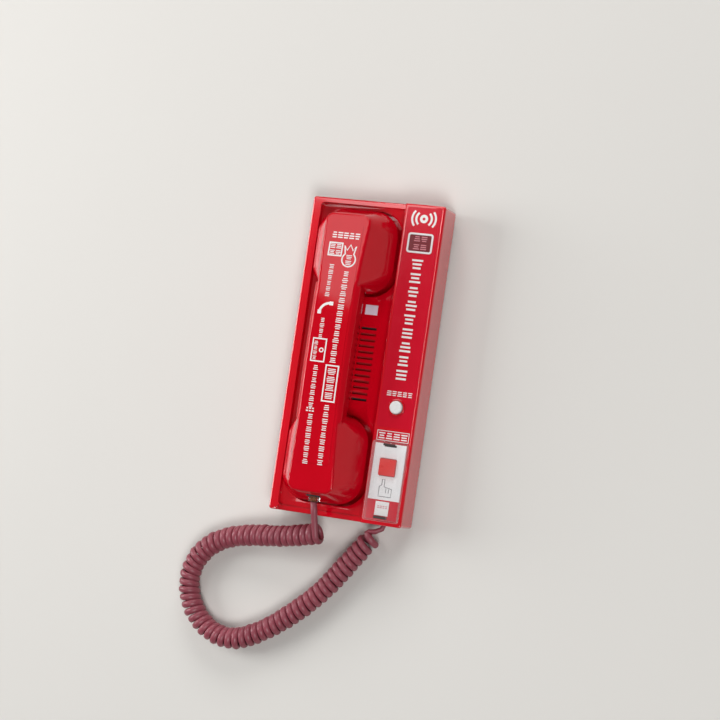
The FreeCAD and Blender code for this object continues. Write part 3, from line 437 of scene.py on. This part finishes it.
SEAM_RISE = 30.0
SEAM_NEAR = 0.05
SEAM_OVERLAP = 0.5
HANDSET_VOXEL = 0.65
SMOOTH_PASSES = 5


def make_handset_body():
    """Both shells run into each other a little at the seam, then remeshed as one and smoothed."""
    bm = bmesh.new()
    bm.from_mesh(NODES["handset_outer_shell"].data)
    for vertex in bm.verts:
        if vertex.co.z < (SEAM_RISE + SEAM_NEAR) * MM:
            vertex.co.z -= SEAM_OVERLAP * MM
    bm.from_mesh(NODES["handset_inner_shell"].data)
    obj = from_bmesh("handset_body", bm, HANDSET_GLOSS, None)
    remesh = obj.modifiers.new("remesh", "REMESH")
    remesh.mode = "VOXEL"
    remesh.voxel_size = HANDSET_VOXEL * MM
    smooth = obj.modifiers.new("smooth", "SMOOTH")
    smooth.factor = 0.5
    smooth.iterations = SMOOTH_PASSES
    apply_modifiers(obj)
    for face in obj.data.polygons:
        face.use_smooth = True
    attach(obj, "handset")
    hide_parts("handset_outer_shell", "handset_inner_shell")


make_handset_body()


# --- front housing with rounded edges ---

CASE_HALF = Vector((50.25, 111.0))
EDGE_R = 2.0
PANEL_LEFT = 20.75
FLOOR_RISE = 18.0
RIM_LOWEST = 18.5
RIM_ROUND = 1.3
CRADLE_ROUND = 0.45
SHORTEST_ROUNDED = 0.8
WALL_REACH = 8.0
POCKET_RIGHT = 2.0
POCKET_FROM_MIDDLE = 45.0
MERGE = 0.01


def from_outline(place):
    """How far inside the case's outline a place is, in millimetres."""
    x, y = abs(place.x) / MM, abs(place.y) / MM
    dx = x - CASE_HALF.x + EDGE_R
    dy = y - CASE_HALF.y + EDGE_R
    if dx > 0 and dy > 0:
        return EDGE_R - math.hypot(dx, dy)
    return min(CASE_HALF.x - x, CASE_HALF.y - y)


def level_and_sharp(edge, low):
    """True for a level edge above low where the surface turns."""
    if len(edge.link_faces) != 2 or edge.calc_face_angle() < 0.7:
        return False
    a, b = (vertex.co for vertex in edge.verts)
    return min(a.z, b.z) > low * MM and abs(a.z - b.z) < 0.05 * MM


def on_outer_rim(edge):
    return level_and_sharp(edge, RIM_LOWEST) and all(from_outline(v.co) < 0.1 for v in edge.verts)


def on_cradle_rim(edge):
    if not level_and_sharp(edge, FLOOR_RISE - 0.1) or edge.calc_length() < SHORTEST_ROUNDED * MM:
        return False
    middle = (edge.verts[0].co + edge.verts[1].co) / 2
    near_wall = from_outline(middle) < WALL_REACH and middle.x < PANEL_LEFT * MM
    step = abs(middle.x / MM - PANEL_LEFT) < 0.2
    pocket = middle.x / MM < POCKET_RIGHT or abs(middle.y / MM) > POCKET_FROM_MIDDLE
    return middle.x / MM < PANEL_LEFT + 0.2 and (near_wall or step or pocket)


def cleaned_copy(node):
    """A node's mesh with doubled points merged and flat stretches joined."""
    bm = bmesh.new()
    bm.from_mesh(NODES[node].data)
    bmesh.ops.remove_doubles(bm, verts=bm.verts, dist=MERGE * MM)
    bmesh.ops.dissolve_limit(bm, angle_limit=math.radians(1.0), verts=bm.verts, edges=bm.edges)
    return bm


def round_edges(bm, edges, width, segments=2):
    bmesh.ops.bevel(bm, geom=edges, offset=width * MM, segments=segments, profile=0.5, affect="EDGES",
                    clamp_overlap=True)


def make_housing():
    bm = cleaned_copy("front_housing")
    round_edges(bm, [edge for edge in bm.edges if on_outer_rim(edge)], RIM_ROUND, 4)
    inner = [edge for edge in bm.edges if on_cradle_rim(edge) and not on_outer_rim(edge)]
    round_edges(bm, inner, CRADLE_ROUND)
    obj = from_bmesh("housing", bm, CASE_RED)
    smooth_by_angle(obj.data, 32.0)
    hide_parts("front_housing")


make_housing()


# --- small pieces with rounded edges ---

SHARP_TURN = 0.8  # radians


def bevelled(name, node, width, material, body="base"):
    """A copy of a node with its edges rounded."""
    bm = cleaned_copy(node)
    sharp = [e for e in bm.edges if len(e.link_faces) == 2 and e.calc_face_angle() > SHARP_TURN]
    round_edges(bm, sharp, width)
    obj = from_bmesh(name, bm, material, body)
    smooth_by_angle(obj.data, 40.0)
    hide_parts(node)


bevelled("cover_shell", "protective_cover", 0.35, CLEAR, "clear_cover")
bevelled("lamp_surround", "lamp_frame", 0.12, PRINT_WHITE)
bevelled("button_collar", "call_button_ring", 0.2, CASE_RED)
bevelled("fire_key", "fire_button_cap", 0.3, BUTTON_RED, "fire_button")
bevelled("lens_window", "status_lens", 0.12, LENS_PALE)
bevelled("instruction_plate", "white_plate", 0.1, PLATE_WHITE)
bevelled("name_card", "name_plate", 0.08, PRINT_WHITE)


# --- printed marks: thin closed plates laid on a surface ---

ARCH_TOP = 51.5
ARCH_R = 921.6
PRINT_THICK = 0.08
PANEL_RISE = 28.0
LAMP_RISE = 28.1
TITLE_RISE = 28.3
WHITE_PLATE_RISE = 28.6
NAME_PLATE_RISE = 28.9
COVER_TOP_RISE = 31.42
SCREW_FACE_RISE = 0.5
PLUG_TOP_RISE = HANDSET_JACK_Z + 2.5


def on_handset(x, y):
    """Height of the handset's printed strip."""
    return ARCH_TOP + 0.2 - ARCH_R + math.sqrt(ARCH_R ** 2 - (y - 1.0) ** 2)


def level(rise):
    return lambda x, y: rise


def bar(x0, x1, y0, y1, step=5.0):
    """Quads that fill an upright rectangle, split along y so that they can follow an arch."""
    count = max(1, math.ceil((y1 - y0) / step))
    cuts = [y0 + (y1 - y0) * i / count for i in range(count + 1)]
    return [[(x0, a), (x1, a), (x1, b), (x0, b)] for a, b in zip(cuts, cuts[1:])]


def frame_quads(x0, x1, y0, y1, w):
    return (bar(x0, x0 + w, y0, y1) + bar(x1 - w, x1, y0, y1)
            + bar(x0 + w, x1 - w, y0, y0 + w) + bar(x0 + w, x1 - w, y1 - w, y1))


def stroke(points, w, closed=False):
    """Quads along a line of the stated width."""
    count = len(points)
    sides = []
    for i, here in enumerate(points):
        before = points[(i - 1) % count] if closed or i else here
        after = points[(i + 1) % count] if closed or i < count - 1 else here
        along = (Vector(after) - Vector(before)).normalized()
        out = Vector((-along.y, along.x)) * w / 2
        sides.append((tuple(Vector(here) - out), tuple(Vector(here) + out)))
    pairs = list(zip(sides, sides[1:]))
    if closed:
        pairs.append((sides[-1], sides[0]))
    return [[a[0], b[0], b[1], a[1]] for a, b in pairs]


def arc_points(x, y, r, start, end, count=20):
    turns = [math.radians(start + (end - start) * i / count) for i in range(count + 1)]
    return [(x + r * math.cos(t), y + r * math.sin(t)) for t in turns]


def block_mark(x, y, width, height, rows):
    """A generic block: a few short bars of different lengths, standing in for a printed sign."""
    quads = []
    pitch = height / rows
    for i in range(rows):
        inset = width * random.choice((0.0, 0.08, 0.18, 0.28)) / 2
        low = y - height / 2 + pitch * (i + 0.22)
        quads += bar(x - width / 2 + inset, x + width / 2 - inset, low, low + pitch * 0.5)
    return quads


def column(x, y_top, count, pitch, width, rows=3):
    quads = []
    for i in range(count):
        quads += block_mark(x, y_top - pitch * (i + 0.5), width, pitch * 0.84, rows)
    return quads


def row(y, x_left, count, pitch, height, rows=2):
    quads = []
    for i in range(count):
        quads += block_mark(x_left + pitch * (i + 0.5), y, pitch * 0.84, height, rows)
    return quads


def printed(name, quads, surface, material, body="base"):
    """Thin closed plates over the quads, following the surface."""
    bm = bmesh.new()
    for quad in quads:
        bm.faces.new([bm.verts.new(Vector((x, y, surface(x, y) + PRINT_THICK)) * MM) for x, y in quad])
    bmesh.ops.remove_doubles(bm, verts=bm.verts, dist=0.005 * MM)
    bmesh.ops.recalc_face_normals(bm, faces=bm.faces)
    for face in bm.faces:
        if face.normal.z < 0:
            face.normal_flip()
    bmesh.ops.solidify(bm, geom=bm.faces[:], thickness=PRINT_THICK * MM)
    obj = from_bmesh(name, bm, material, body, smooth=False)


def handset_marks():
    """The handset's marks. Their places are in millimetres on its back."""
    marks = row(81.8, -22.0, 5, 4.2, 4.9, 3)
    marks += frame_quads(-22.8, -12.4, 66.8, 76.6, 0.95)
    for x in (-19.8, -15.4):
        for y in (69.6, 73.8):
            marks += block_mark(x, y, 3.6, 3.4, 3)
    flame = arc_points(-6.8, 65.2, 4.9, 130, 410, 26)
    flame += [(-2.6, 74.8), (-4.6, 71.6), (-6.8, 75.6), (-9.0, 71.6), (-11.0, 74.8)]
    marks += stroke(flame, 0.95, closed=True)
    marks += column(-6.8, 69.0, 2, 4.0, 4.2)
    marks += column(-18.2, 61.5, 6, 3.9, 3.3)
    marks += stroke(arc_points(-14.6, 26.6, 7.4, 92, 172, 14), 1.7)
    marks += bar(-15.4, -12.6, 32.6, 35.2) + bar(-23.2, -20.6, 26.2, 28.9)
    marks += column(-18.4, 24.0, 4, 3.8, 3.1)
    marks += frame_quads(-23.4, -12.9, -6.8, 9.6, 0.9)
    marks += stroke(arc_points(-16.2, 1.5, 1.3, 0, 345, 23), 0.75, closed=True)
    marks += column(-20.6, 7.8, 4, 3.4, 2.6)
    marks += column(-18.4, -8.6, 7, 4.3, 3.5)
    marks += row(-39.6, -21.6, 3, 2.1, 3.6, 2)
    marks += column(-17.6, -42.0, 8, 4.4, 3.9)
    marks += column(-6.8, 57.6, 14, 4.6, 4.4)
    marks += frame_quads(-11.4, -1.4, -33.2, -7.8, 0.95)
    marks += column(-6.4, -9.6, 4, 5.5, 6.0, 4)
    marks += column(-6.6, -34.6, 9, 4.7, 4.0)
    return marks


def make_prints():
    printed("handset_print", handset_marks(), on_handset, PRINT_WHITE, "handset")
    marks = stroke(arc_points(35.6, 101.0, 2.0, 0, 345, 23), 1.9, closed=True)
    for start, side in ((-50, 1), (130, -1)):
        marks += stroke(arc_points(35.6 + side * 0.4, 101.0, 5.2, start, start + 100, 12), 1.5)
        marks += stroke(arc_points(35.6 + side * 0.8, 101.0, 7.8, start + 8, start + 92, 12), 1.4)
    marks += column(35.3, 74.2, 9, 9.6, 8.0, 3)
    marks += row(-20.6, 26.6, 5, 3.8, 3.9, 3)
    printed("panel_print", marks, level(PANEL_RISE), PRINT_WHITE)
    lamp = row(87.0, 30.2, 2, 5.2, 4.2, 3) + row(81.4, 30.2, 2, 5.2, 4.2, 3)
    printed("lamp_print", lamp, level(LAMP_RISE), PRINT_PINK)
    title = frame_quads(24.1, 47.4, -53.4, -46.4, 0.45) + row(-49.9, 25.0, 4, 5.4, 5.0, 3)
    printed("title_print", title, level(TITLE_RISE), PRINT_WHITE)
    palm = [(31.2, -91.4), (31.2, -84.6), (32.8, -83.6), (32.8, -79.6), (34.6, -79.6), (34.6, -84.6),
            (40.2, -85.8), (40.2, -91.4)]
    hand = stroke(palm, 0.5, closed=True) + bar(36.0, 36.4, -88.8, -85.6) + bar(38.0, 38.4, -88.8, -86.0)
    printed("hand_sign", hand, level(WHITE_PLATE_RISE), PRINT_GREY)
    name = row(-98.4, 31.6, 4, 1.9, 2.2, 2)
    printed("name_print", name, level(NAME_PLATE_RISE), PRINT_PINK)
    dark = bar(30.8, 39.4, -56.6, -55.2) + bar(30.8, 39.4, -106.6, -105.2)
    printed("latch_shadow", dark, level(COVER_TOP_RISE), SHADE_DARK, "clear_cover")


make_prints()


CONTACT_OFFSETS = (-1.9, -0.6, 0.6, 1.9)
CONTACT_HALF = 0.25
CONTACT_ENDS = (-101.5, -98.4)
SCREW_XS = (-42.85, 42.85)
SCREW_YS = (-97.6, 103.6)
CROSS_REACH = 1.7
CROSS_HALF = 0.35


def make_plug_contacts():
    """The gold contacts along the handset plug's top."""
    contacts = []
    for offset in CONTACT_OFFSETS:
        x = MID_X + offset
        contacts += bar(x - CONTACT_HALF, x + CONTACT_HALF, *CONTACT_ENDS)
    printed("plug_contacts", contacts, level(PLUG_TOP_RISE), GOLD, "handset")


def cross(x, y):
    arms = bar(x - CROSS_REACH, x + CROSS_REACH, y - CROSS_HALF, y + CROSS_HALF)
    arms += bar(x - CROSS_HALF, x + CROSS_HALF, y - CROSS_REACH, y - CROSS_HALF)
    arms += bar(x - CROSS_HALF, x + CROSS_HALF, y + CROSS_HALF, y + CROSS_REACH)
    return arms


def make_screw_recess_shade():
    """A dark cross on the head of each case screw: painted shade standing in for its cross recess."""
    crosses = []
    for x in SCREW_XS:
        for y in SCREW_YS:
            crosses += cross(x, y)
    printed("screw_recess_shade", crosses, level(SCREW_FACE_RISE), SHADE_DARK)


make_plug_contacts()
make_screw_recess_shade()


# --- springs: wound wire between a fixed seat and a moving piece ---

SPRING_WIRE = 0.5
SPRING_TURNS = 6
SPRING_END = 0.9  # turns that lie flat at each end
SPRING_SIDES = 8


def make_spring(name, node):
    """A wound spring with closed ends. The piece that it pushes back presses it together."""
    low, high = (Vector(corner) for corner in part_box(node))
    wire = SPRING_WIRE * MM
    radius = (high.x - low.x - wire) / 2
    foot = Vector(((low.x + high.x) / 2, (low.y + high.y) / 2, low.z))
    path = []
    ways = []
    count = SPRING_TURNS * POINTS_PER_TURN
    for i in range(count + 1):
        turns = SPRING_TURNS * i / count
        out = Vector((math.cos(2 * math.pi * turns), math.sin(2 * math.pi * turns), 0.0))
        share = min(1.0, max(0.0, (turns - SPRING_END) / (SPRING_TURNS - 2 * SPRING_END)))
        rise = wire / 2 + share * (high.z - low.z - wire)
        path.append(foot + out * radius + Vector((0.0, 0.0, rise)))
        ways.append(out)
    mesh = flat_tube(name, path, ways, (wire, wire), SPRING_SIDES)
    spring = new_object(name, mesh, STEEL, None)
    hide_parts(node)
    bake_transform(spring)


make_spring("call_coil", "call_button_spring")
make_spring("fire_coil", "fire_button_spring")


# --- pieces whose CAD shape is kept, with a better material ---

NODE_MATERIALS = {
    "rear_cover": REAR, "case_screws": STEEL, "panel_overlay": OVERLAY_RED,
    "lamp_window": LAMP_RED, "lamp_leds": LED_CLEAR,
    "red_plate": OVERLAY_RED, "title_plate": OVERLAY_RED,
    "status_led": LED_CLEAR, "cradle_pads": RUBBER,
    "ringer_speaker": SPEAKER_RED, "speaker_gasket": RUBBER,
    "call_button_cap": BUTTON_WHITE, "call_button_switch": BLACK,
    "call_spring_seat": NATURAL,
    "fire_button_switch": BLACK, "fire_spring_seat": NATURAL, "hook_switch_body": BLACK,
    "hook_plunger": NATURAL, "hook_spring": STEEL, "main_board": BOARD, "board_screws": STEEL,
    "line_transformer": BLACK, "relays": NATURAL, "capacitors": BLACK, "logic_chips": BLACK,
    "terminal_block": NATURAL, "terminal_screws": BRASS, "base_jack": BLACK, "base_plug": CLEAR_PLUG,
    "handset_screws": STEEL, "handset_label": HANDSET_GLOSS, "receiver_capsule": STEEL,
    "receiver_gasket": RUBBER, "microphone_capsule": STEEL, "microphone_grommet": RUBBER,
    "balance_weight": STEEL, "handset_jack": BLACK, "handset_plug": CLEAR_PLUG,
}

for node_name, node_material in NODE_MATERIALS.items():
    for material_slot in NODES[node_name].material_slots:
        material_slot.material = node_material


# --- floor and light ---

FLOOR_HALF = 3.0
FLOOR_DROP = 0.0002
WORLD_STRENGTH = 0.12


def make_floor():
    mesh = bpy.data.meshes.new("floor")
    half = FLOOR_HALF
    corners = [(-half, -half, 0.0), (half, -half, 0.0), (half, half, 0.0), (-half, half, 0.0)]
    mesh.from_pydata([Vector(c) - Vector((0, 0, FLOOR_DROP)) for c in corners], [], [(0, 1, 2, 3)])
    shader = Shader("floor_paper", (0.685, 0.665, 0.63), 0.6, Specular_IOR_Level=0.2)
    shader.vary((0.68, 0.66, 0.625), (0.69, 0.67, 0.635), 3.0)
    floor = bpy.data.objects.new("floor", mesh)
    mesh.materials.append(shader.material)
    bpy.context.collection.objects.link(floor)


def area_light(name, place, target, size, power):
    data = bpy.data.lights.new(name, "AREA")
    data.shape = "RECTANGLE"
    data.size, data.size_y = size
    data.energy = power
    light = bpy.data.objects.new(name, data)
    light.location = place
    light.rotation_euler = (Vector(target) - Vector(place)).to_track_quat("-Z", "Y").to_euler()
    bpy.context.collection.objects.link(light)


def make_light():
    world = bpy.data.worlds.new("studio")
    world.use_nodes = True
    world.node_tree.nodes["Background"].inputs["Color"].default_value = (0.95, 0.97, 1.0, 1.0)
    world.node_tree.nodes["Background"].inputs["Strength"].default_value = WORLD_STRENGTH
    bpy.context.scene.world = world
    bpy.context.scene.view_settings.view_transform = "Standard"
    area_light("key", (-0.62, 0.72, 1.55), (-0.05, 0.10, 0.0), (0.62, 0.66), 3.4)
    area_light("left", (-1.5, 0.1, 0.75), (0.0, 0.0, 0.0), (0.8, 1.0), 18.0)
    area_light("top", (0.0, 1.7, 0.9), (0.0, 0.0, 0.0), (1.4, 0.7), 18.5)
    area_light("right", (0.9, -0.9, 2.0), (0.0, 0.0, 0.0), (0.9, 0.9), 28.0)


make_floor()
make_light()
